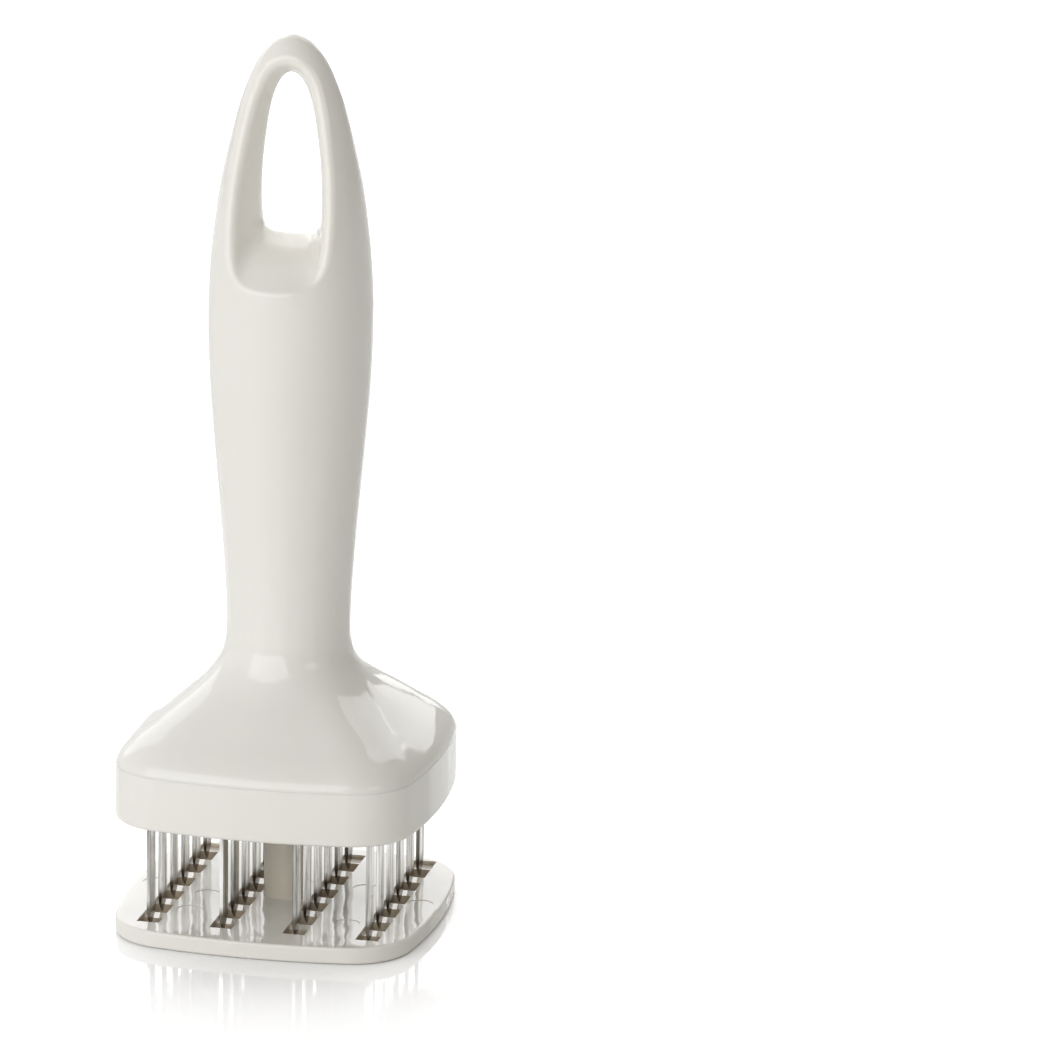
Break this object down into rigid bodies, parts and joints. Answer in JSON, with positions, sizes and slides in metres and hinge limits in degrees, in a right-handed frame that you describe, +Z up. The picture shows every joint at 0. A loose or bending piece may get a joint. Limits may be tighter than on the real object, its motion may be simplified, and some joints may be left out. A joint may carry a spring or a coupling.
{
  "type": "blade meat tenderizer",
  "caption": "Hand-held meat tenderizer: rows of steel blades under an upright loop-ended handle, pressed down through a spring-loaded slotted guard plate on a centre post.",
  "frame": {"origin": "centre of the guard plate's underside, which is the face the tool stands on", "axes": "+Z up along the handle and the plunge, X across the blade rows, Y along the blade rows"},
  "size_m": [0.0726, 0.0726, 0.205],
  "materials": {
    "handle_plastic": "glossy off-white",
    "head_plastic": "glossy off-white",
    "guard_plastic": "high gloss off-white",
    "post_plastic": "satin off-white",
    "carrier_plastic": "matte off-white",
    "bush_plastic": "matte off-white",
    "clamp_steel": "rolled sheet",
    "blade_steel": "ground and polished",
    "spring_steel": "drawn wire",
    "washer_steel": "stamped",
    "screw_steel": "zinc plated"
  },
  "bodies": {
    "head": {"handle_shell": "handle_plastic", "head_band": "head_plastic", "blade_carrier": "carrier_plastic", "blade_clamp_plate": "clamp_steel", "guide_bush": "bush_plastic", "spring_seat": "bush_plastic", "return_spring": "spring_steel", "case_screws": "screw_steel", "blade_row1_1": "blade_steel", "blade_row1_2": "blade_steel", "blade_row1_3": "blade_steel", "blade_row1_4": "blade_steel", "blade_row1_5": "blade_steel", "blade_row1_6": "blade_steel", "blade_row2_1": "blade_steel", "blade_row2_2": "blade_steel", "blade_row2_3": "blade_steel", "blade_row2_4": "blade_steel", "blade_row2_5": "blade_steel", "blade_row2_6": "blade_steel", "blade_row3_1": "blade_steel", "blade_row3_2": "blade_steel", "blade_row3_3": "blade_steel", "blade_row3_4": "blade_steel", "blade_row3_5": "blade_steel", "blade_row3_6": "blade_steel", "blade_row4_1": "blade_steel", "blade_row4_2": "blade_steel", "blade_row4_3": "blade_steel", "blade_row4_4": "blade_steel", "blade_row4_5": "blade_steel", "blade_row4_6": "blade_steel"},
    "guard": {"guard_plate": "guard_plastic", "guide_post": "post_plastic", "stop_washer": "washer_steel", "stop_screw": "screw_steel", "post_screw": "screw_steel"}
  },
  "joints": [
    {"name": "guard_slide", "type": "slide", "parent": "head", "child": "guard", "axis": [0, 0, 1], "range_m": [0, 0.02], "stiffness_N_per_m": 1300, "springref_m": -0.006, "deforming": ["return_spring"]}
  ]
}
